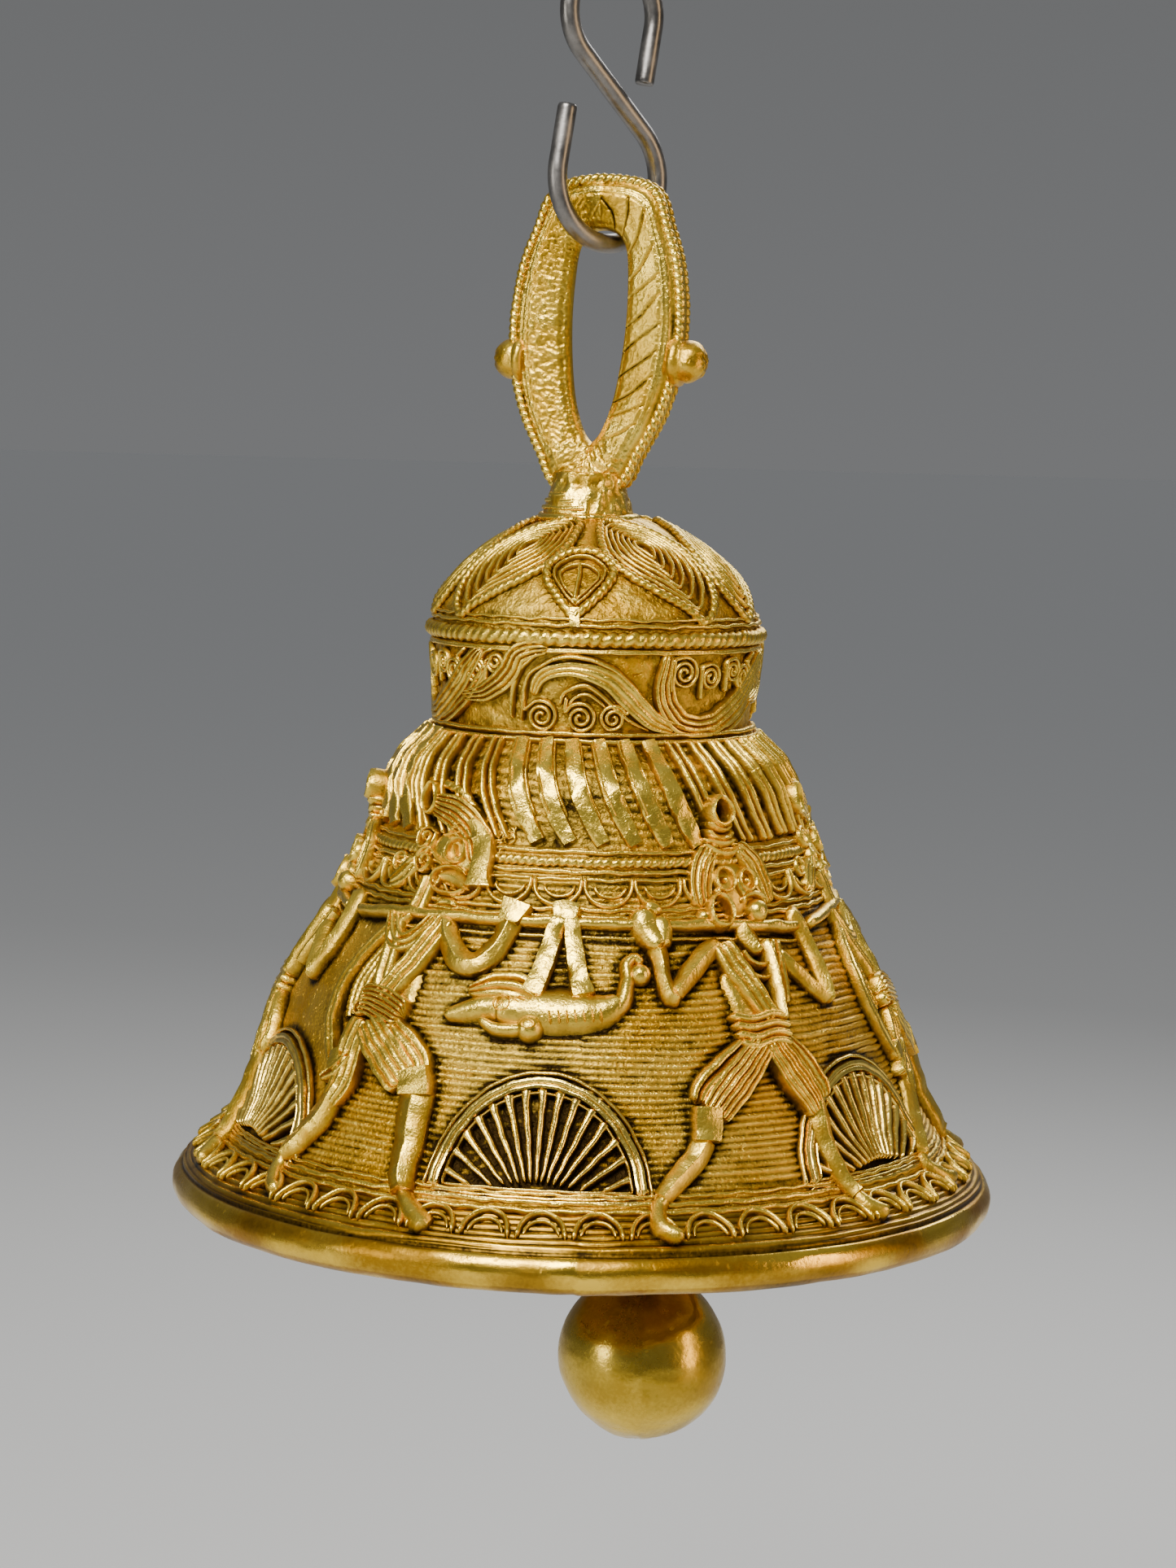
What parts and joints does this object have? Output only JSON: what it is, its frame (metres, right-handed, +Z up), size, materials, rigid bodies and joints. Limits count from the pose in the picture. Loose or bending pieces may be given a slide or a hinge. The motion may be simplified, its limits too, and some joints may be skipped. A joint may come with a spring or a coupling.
{
  "type": "temple bell",
  "caption": "Flared cast brass temple bell with raised figures, fans and scallops, a loop handle on a steel S-hook and a ball clapper hung from a link.",
  "frame": {"origin": "the point inside the top of the S-hook's upper loop, where a nail, peg or bracket carries the bell", "axes": "+Z up along the bell's axis, -Y out of the front scene, +X to the viewer's right"},
  "size_m": [0.1608, 0.1608, 0.2903],
  "materials": {
    "cast_ground": "as cast, granular",
    "relief_brass": "filed and brushed",
    "handle_brass": "brushed, granular in places",
    "dark_fan": "polished ridges over dark recesses",
    "polished_lip": "turned and brushed",
    "ball_brass": "worn satin",
    "hook_steel": "dull drawn wire",
    "clapper_steel": "dull, lightly rusted"
  },
  "bodies": {
    "hook": {"s_hook": "hook_steel"},
    "bell": {"handle_loop": "handle_brass", "handle_knob_left": "handle_brass", "handle_knob_right": "handle_brass", "handle_foot": "handle_brass", "crown_dome": "cast_ground", "dome_lobes": "relief_brass", "dome_medallions": "relief_brass", "dome_rope": "relief_brass", "neck_drum": "cast_ground", "neck_arches": "relief_brass", "neck_spirals": "relief_brass", "shoulder_shell": "cast_ground", "shoulder_strips": "relief_brass", "waist_rope": "relief_brass", "waist_scallops": "relief_brass", "bell_body": "cast_ground", "lip_ring": "polished_lip", "lip_scallops": "relief_brass", "pole_front": "relief_brass", "bearer_left_front": "relief_brass", "bearer_right_front": "relief_brass", "animal_front": "relief_brass", "pole_east": "relief_brass", "bearer_left_east": "relief_brass", "bearer_right_east": "relief_brass", "animal_east": "relief_brass", "pole_west": "relief_brass", "bearer_left_west": "relief_brass", "bearer_right_west": "relief_brass", "animal_west": "relief_brass", "sun_fan_front": "dark_fan", "sun_fan_right_front": "dark_fan", "sun_fan_right_back": "dark_fan", "sun_fan_back": "dark_fan", "sun_fan_left_back": "dark_fan", "sun_fan_left_front": "dark_fan", "clapper_staple": "cast_ground"},
    "link": {"clapper_link": "clapper_steel"},
    "clapper": {"clapper_rod": "clapper_steel", "clapper_ball": "ball_brass"}
  },
  "joints": [
    {"name": "bell_swing", "type": "hinge", "parent": "hook", "child": "bell", "pos_m": [0, 0, -0.05205], "axis": [0.766, 0.6428, 0], "range_deg": [-25, 25]},
    {"name": "link_swing", "type": "hinge", "parent": "bell", "child": "link", "pos_m": [0.013, 0, -0.12052], "axis": [-0.6428, 0.766, 0], "range_deg": [-10, 10]},
    {"name": "clapper_swing", "type": "hinge", "parent": "link", "child": "clapper", "pos_m": [0.013, 0, -0.13142], "axis": [0.766, 0.6428, 0], "range_deg": [-23, 23]}
  ]
}
